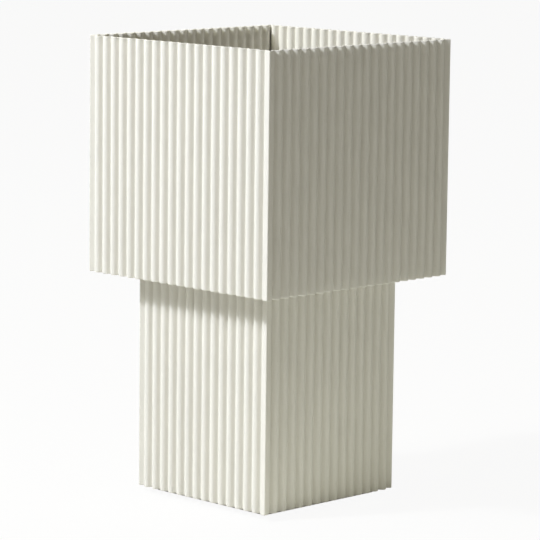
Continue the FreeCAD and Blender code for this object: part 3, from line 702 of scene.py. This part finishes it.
class LAMP_OT_base(bpy.types.Operator):
    """Rounds the edges of the base plate and the foot pad"""
    bl_idname = "lamp.base"
    bl_label = "Base"

    def execute(self, context):
        trim = context.scene.lamp_trim
        for node, name, slot, radius in (("base_plate", "base_casting", "base_coat", trim.base_edge),
                                         ("foot_pad", "foot_mat", "foot_rubber", trim.foot_edge)):
            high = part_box(node)[1]
            bm = cad_copy(node)
            band = high.x - trim.rim_band
            rim = [e for e in sharp_edges(bm) if max(abs(middle(e).x), abs(middle(e).y)) > band]
            round_edges(bm, rim, radius)
            add_piece(name, bm, slot, [node])
        return {"FINISHED"}


class LAMP_OT_spider(bpy.types.Operator):
    """Bends the spider's arms up into the shade and rounds its cut edges"""
    bl_idname = "lamp.spider"
    bl_label = "Shade spider"

    def execute(self, context):
        trim = context.scene.lamp_trim
        low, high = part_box("shade_spider")
        sheet = trim.spider_sheet
        bends = 6
        bm = cad_copy("shade_spider")
        outer = [e for e in bm.edges if near_bend(e, low.z, high.x)]
        round_edges(bm, outer, trim.arm_bend + sheet, bends)
        inner = [e for e in bm.edges if near_bend(e, low.z + sheet, high.x - sheet)]
        round_edges(bm, inner, trim.arm_bend, bends)
        round_edges(bm, sharp_edges(bm), trim.sheet_edge, 2)
        add_piece("shade_carrier", bm, "powder_coat", ["shade_spider"])
        return {"FINISHED"}


def near_bend(edge, height, reach):
    """Whether an edge is the straight line across an arm at a height and a distance from the axis."""
    place = middle(edge)
    along = edge.verts[0].co - edge.verts[1].co
    out = max(abs(place.x), abs(place.y))
    return abs(along.z) < ALIGN and abs(place.z - height) < ALIGN and abs(out - reach) < ALIGN


def socket_screws(node, shank, head, head_height, socket):
    """Four screws with domed round heads and hexagon sockets, where a CAD node has them."""
    low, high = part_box(node)
    out = high.x - head
    places = [(out, out), (-out, out), (-out, -out), (out, -out)]
    seat = high.z - head_height
    point = 0.25 * shank
    seat_edge = 0.12 * MM
    dome = 0.6 * head_height
    outline = [(0, low.z), (shank, low.z), (shank, seat), (head, seat), (head, high.z), (0, high.z)]
    screws = turned(outline, [0, point, 0, seat_edge, dome, 0], 36)
    repeated(screws, places)
    sockets = bmesh.new()
    bmesh.ops.create_cone(sockets, cap_ends=True, segments=6, radius1=shank, radius2=shank, depth=2 * socket,
                          matrix=Matrix.Translation((0, 0, high.z)))
    repeated(sockets, places)
    return cut_out(screws, sockets)


class LAMP_OT_screws(bpy.types.Operator):
    """Turns the screws that show from above"""
    bl_idname = "lamp.screws"
    bl_label = "Screws"

    def execute(self, context):
        for node, name, sizes in (("head_screws", "carrier_screws", M3_SCREW),
                                  ("ring_screws", "clamp_screws", M2_SCREW)):
            add_piece(name, socket_screws(node, **sizes), "zinc_screws", [node])
        return {"FINISHED"}


class LAMP_OT_diffuser(bpy.types.Operator):
    """Turns the opal diffuser and rounds the ring that holds it down"""
    bl_idname = "lamp.diffuser"
    bl_label = "Diffuser"

    def execute(self, context):
        trim = context.scene.lamp_trim
        low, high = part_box("opal_diffuser")
        outer = high.x - trim.flange
        inner = outer - trim.wall
        step = low.z + trim.flange_sheet
        outline = [(inner, low.z), (high.x, low.z), (high.x, step), (outer, step), (outer, high.z),
                   (0, high.z), (0, high.z - trim.wall), (inner, high.z - trim.wall)]
        radii = [trim.mouth_edge, trim.flange_edge, trim.flange_edge, trim.flange_root, trim.shoulder,
                 0, 0, trim.shoulder - trim.wall]
        add_piece("opal_cup", turned(outline, radii, 96), "opal", ["opal_diffuser"])
        ring = cad_copy("diffuser_ring")
        round_edges(ring, sharp_edges(ring), trim.sheet_edge, 3)
        add_piece("clamp_ring", ring, "powder_coat", ["diffuser_ring"])
        return {"FINISHED"}


class LAMP_OT_controls(bpy.types.Operator):
    """Finishes the control panel: its frame, the dimmer button, the charge socket and the charge light"""
    bl_idname = "lamp.controls"
    bl_label = "Controls"

    def execute(self, context):
        sizes = context.scene.lamp_controls
        self.frame_piece(sizes)
        self.button_piece(sizes)
        self.socket_piece(sizes)
        self.light_piece(sizes)
        return {"FINISHED"}

    def frame_piece(self, sizes):
        bezel = cad_copy("control_bezel")
        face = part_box("control_bezel")[1].y
        front = [e for e in sharp_edges(bezel) if middle(e).y > face - ALIGN]
        round_edges(bezel, front, sizes.edge)
        add_piece("panel_frame", bezel, "panel_plastic", ["control_bezel"])

    def button_piece(self, sizes):
        low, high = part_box("dimmer_button")
        flange = (high.x - low.x) / 2
        step = low.y + sizes.button_flange_sheet
        cap = flange - sizes.button_flange
        dished = cap - sizes.button_rim
        flat = dished * sizes.button_floor
        hollow = high.y - sizes.button_dish
        outline = [(0, low.y), (flange, low.y), (flange, step), (cap, step), (cap, high.y), (dished, high.y),
                   (flat, hollow), (0, hollow)]
        radii = [0, sizes.button_flange_edge, sizes.button_flange_edge, 0, sizes.button_edge,
                 sizes.button_brow, sizes.button_bowl, 0]
        button = turned(outline, radii, 64)
        set_in_panel(button, (low.x + high.x) / 2, sizes.height)
        add_piece("dimmer_cap", button, "panel_plastic", ["dimmer_button"], BUTTON)

    def socket_piece(self, sizes):
        port = cad_copy("usb_c_socket")
        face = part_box("control_bezel")[1].y
        front = [e for e in sharp_edges(port) if middle(e).y > face - sizes.socket_band]
        round_edges(port, front, sizes.socket_edge, 2)
        add_piece("charge_socket", port, "nickel", ["usb_c_socket"])

    def light_piece(self, sizes):
        low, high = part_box("charge_light_pipe")
        collar = (high.x - low.x) / 2
        pipe = collar - sizes.light_collar
        panel_back = high.y - sizes.sheet
        step = panel_back - sizes.light_collar
        outline = [(0, low.y), (pipe, low.y), (pipe, step), (collar, step), (collar, panel_back),
                   (pipe, panel_back), (pipe, high.y), (0, high.y)]
        radii = [0, sizes.light_edge, 0, sizes.light_edge, sizes.light_edge, 0, sizes.light_dome, 0]
        light = turned(outline, radii, 36)
        set_in_panel(light, (low.x + high.x) / 2, sizes.height)
        add_piece("charge_light", light, "clear_plastic", ["charge_light_pipe"])


def set_in_panel(bm, x, height):
    """Tips a turned form over to face the back and sets it at its place in the panel."""
    faced_back(bm)
    bmesh.ops.translate(bm, verts=bm.verts, vec=(x, 0, height))


class LAMP_OT_finishes(bpy.types.Operator):
    """Gives every part of the frame the finish of its slot"""
    bl_idname = "lamp.finishes"
    bl_label = "Finishes"

    def execute(self, context):
        slots = {part["node"]: part["material_slot"] for part in frame["record"]["subparts"]}
        for name, node in frame["nodes"].items():
            node.data.materials.clear()
            node.data.materials.append(finish(slots[name]))
        return {"FINISHED"}


# Stage

def make_camera(sizes):
    """The camera, with the photograph's angle and framing."""
    turn = Matrix.Rotation(sizes.azimuth, 3, "Z")
    forward = turn @ Vector((0, math.cos(sizes.elevation), -math.sin(sizes.elevation)))
    right = turn @ Vector((1, 0, 0))
    up = right.cross(forward)
    target = turn @ Vector((sizes.target_shift, 0, 0)) + Vector((0, 0, sizes.target_height))
    tilted_right = right * math.cos(sizes.roll) + up * math.sin(sizes.roll)
    tilted_up = up * math.cos(sizes.roll) - right * math.sin(sizes.roll)
    camera = bpy.data.objects.new("camera", bpy.data.cameras.new("camera"))
    camera.data.sensor_width = 36.0
    camera.data.lens = sizes.lens
    camera.data.clip_start = 0.1
    camera.data.clip_end = 20.0
    axes = Matrix((tilted_right, tilted_up, -forward)).transposed()
    camera.matrix_world = Matrix.Translation(target - forward * sizes.distance) @ axes.to_4x4()
    bpy.context.scene.collection.objects.link(camera)
    bpy.context.scene.camera = camera


def seen_share(tree):
    """1 for what the camera sees straight or in gloss and glass, and 0 for light that reaches the lamp."""
    path = tree.nodes.new("ShaderNodeLightPath")
    total = path.outputs["Is Camera Ray"]
    for name in ("Is Glossy Ray", "Is Transmission Ray"):
        add = tree.nodes.new("ShaderNodeMath")
        add.operation = "ADD"
        add.use_clamp = True
        tree.links.new(total, add.inputs[0])
        tree.links.new(path.outputs[name], add.inputs[1])
        total = add.outputs[0]
    return total


def make_world(sizes):
    """Dim light from all round, which the camera, gloss and glass see as white."""
    world = bpy.data.worlds.new("studio")
    bpy.context.scene.world = world
    world.use_nodes = True
    tree = world.node_tree
    fill = tree.nodes["Background"]
    fill.inputs["Color"].default_value = (*sizes.fill_tint, 1)
    fill.inputs["Strength"].default_value = sizes.fill_power
    white = tree.nodes.new("ShaderNodeBackground")
    white.inputs["Strength"].default_value = 1.0
    white.inputs["Color"].default_value = (1, 1, 1, 1)
    mix = tree.nodes.new("ShaderNodeMixShader")
    tree.links.new(seen_share(tree), mix.inputs["Fac"])
    tree.links.new(fill.outputs[0], mix.inputs[1])
    tree.links.new(white.outputs[0], mix.inputs[2])
    tree.links.new(mix.outputs[0], tree.nodes["World Output"].inputs["Surface"])


def make_floor(sizes):
    """A pale floor that the camera sees almost white, with a faint shadow, and that is clear from below."""
    bm = bmesh.new()
    bmesh.ops.create_grid(bm, x_segments=1, y_segments=1, size=sizes.floor_half)
    bmesh.ops.translate(bm, verts=bm.verts, vec=(0, 0, -sizes.floor_drop))
    mesh = bpy.data.meshes.new("floor")
    bm.to_mesh(mesh)
    bm.free()
    floor = bpy.data.objects.new("floor", mesh)
    bpy.context.scene.collection.objects.link(floor)
    made = Finish("stage_floor")
    made.set(Base_Color=opaque(sizes.floor_tint), Roughness=0.9)
    tree = made.tree
    seen = {0: seen_share(tree), 1: sizes.floor_white}
    share = made.node("ShaderNodeMath", seen, operation="MULTIPLY").outputs[0]
    white = made.node("ShaderNodeEmission", {"Strength": 1.0})
    pale = made.node("ShaderNodeMixShader", {"Fac": share, 1: made.shader.outputs[0], 2: white.outputs[0]})
    under = made.node("ShaderNodeNewGeometry").outputs["Backfacing"]
    clear = made.node("ShaderNodeBsdfTransparent")
    both = made.node("ShaderNodeMixShader", {"Fac": under, 1: pale.outputs[0], 2: clear.outputs[0]})
    tree.links.new(both.outputs[0], tree.nodes["Material Output"].inputs["Surface"])
    floor.data.materials.append(made.material)


def area_light(name, place, shines_to, shape, width, depth, power, tint):
    """A lamp that nothing but the light it gives shows."""
    light = bpy.data.lights.new(name, "AREA")
    light.color = tint
    light.shape = shape
    light.size = width
    light.size_y = depth
    light.energy = power
    lamp = bpy.data.objects.new(name, light)
    lamp.location = place
    lamp.rotation_mode = "QUATERNION"
    lamp.rotation_quaternion = (place - shines_to).to_track_quat("Z", "Y")
    lamp.visible_camera = False
    lamp.visible_glossy = False
    lamp.visible_transmission = False
    bpy.context.scene.collection.objects.link(lamp)


def make_key(sizes):
    """The key light with its softer halo, high to the left of the camera."""
    target = Vector((0, 0, sizes.target_height))
    flat = math.cos(sizes.key_height)
    source = Vector((flat * math.sin(sizes.key_turn), -flat * math.cos(sizes.key_turn),
                     math.sin(sizes.key_height)))
    place = target + source * sizes.key_distance
    for name, width, strength in (("key", sizes.key_width, sizes.key_power),
                                  ("halo", sizes.halo_width, sizes.halo_power)):
        power = strength * math.pi * sizes.key_distance ** 2
        area_light(name, place, target, "DISK", width, width, power, sizes.key_tint)


def make_card(sizes):
    """A low card on the floor beside the lamp that throws light up the shaded wall."""
    place = Vector((sizes.card_gap + sizes.card_width / 2, 0, sizes.card_height))
    upwards = place + Vector((0, 0, 1))
    power = sizes.card_power * math.pi * sizes.card_width * sizes.card_length
    area_light("card", place, upwards, "RECTANGLE", sizes.card_width, sizes.card_length, power,
               sizes.card_tint)


def make_top(sizes):
    """A small card above the shade that throws warm light on the inside of its back wall."""
    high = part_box("shade_back_half")[1]
    place = Vector((-sizes.top_left, -sizes.top_front, sizes.top_height))
    wall = Vector((0, high.y, high.z))
    power = sizes.top_power * math.pi * (place - wall).length ** 2
    area_light("top", place, wall, "DISK", sizes.top_width, sizes.top_width, power, sizes.top_tint)


class LAMP_OT_stage(bpy.types.Operator):
    """Sets the camera, the lights and the floor"""
    bl_idname = "lamp.stage"
    bl_label = "Stage"

    def execute(self, context):
        sizes = context.scene.lamp_stage
        make_camera(sizes)
        make_world(sizes)
        make_key(sizes)
        make_card(sizes)
        make_top(sizes)
        make_floor(sizes)
        context.scene.view_settings.view_transform = "Standard"
        return {"FINISHED"}


class LAMP_PT_sidebar(bpy.types.Panel):
    """Lists the lamp's pieces"""
    bl_idname = "LAMP_PT_sidebar"
    bl_label = "Ribbed Lamp"
    bl_space_type = "VIEW_3D"
    bl_region_type = "UI"
    bl_category = "Lamp"

    def draw(self, context):
        for operator in PIECES:
            self.layout.operator(operator.bl_idname)


GROUPS = {"lamp_sheet": SheetSizes, "lamp_trim": TrimSizes, "lamp_controls": ControlSizes,
          "lamp_colours": CoatColours, "lamp_stage": StageSizes}
PIECES = (LAMP_OT_finishes, LAMP_OT_shade, LAMP_OT_column, LAMP_OT_base, LAMP_OT_spider, LAMP_OT_screws,
          LAMP_OT_diffuser, LAMP_OT_controls, LAMP_OT_stage)


def register():
    for cls in (*GROUPS.values(), *PIECES, LAMP_PT_sidebar):
        bpy.utils.register_class(cls)
    for name, cls in GROUPS.items():
        setattr(bpy.types.Scene, name, PointerProperty(type=cls))


def unregister():
    for name in GROUPS:
        delattr(bpy.types.Scene, name)
    for cls in reversed((*GROUPS.values(), *PIECES, LAMP_PT_sidebar)):
        bpy.utils.unregister_class(cls)


def main():
    register()
    for operator in PIECES:
        getattr(bpy.ops.lamp, operator.bl_idname.split(".")[1])()


if __name__ == "__main__":
    main()
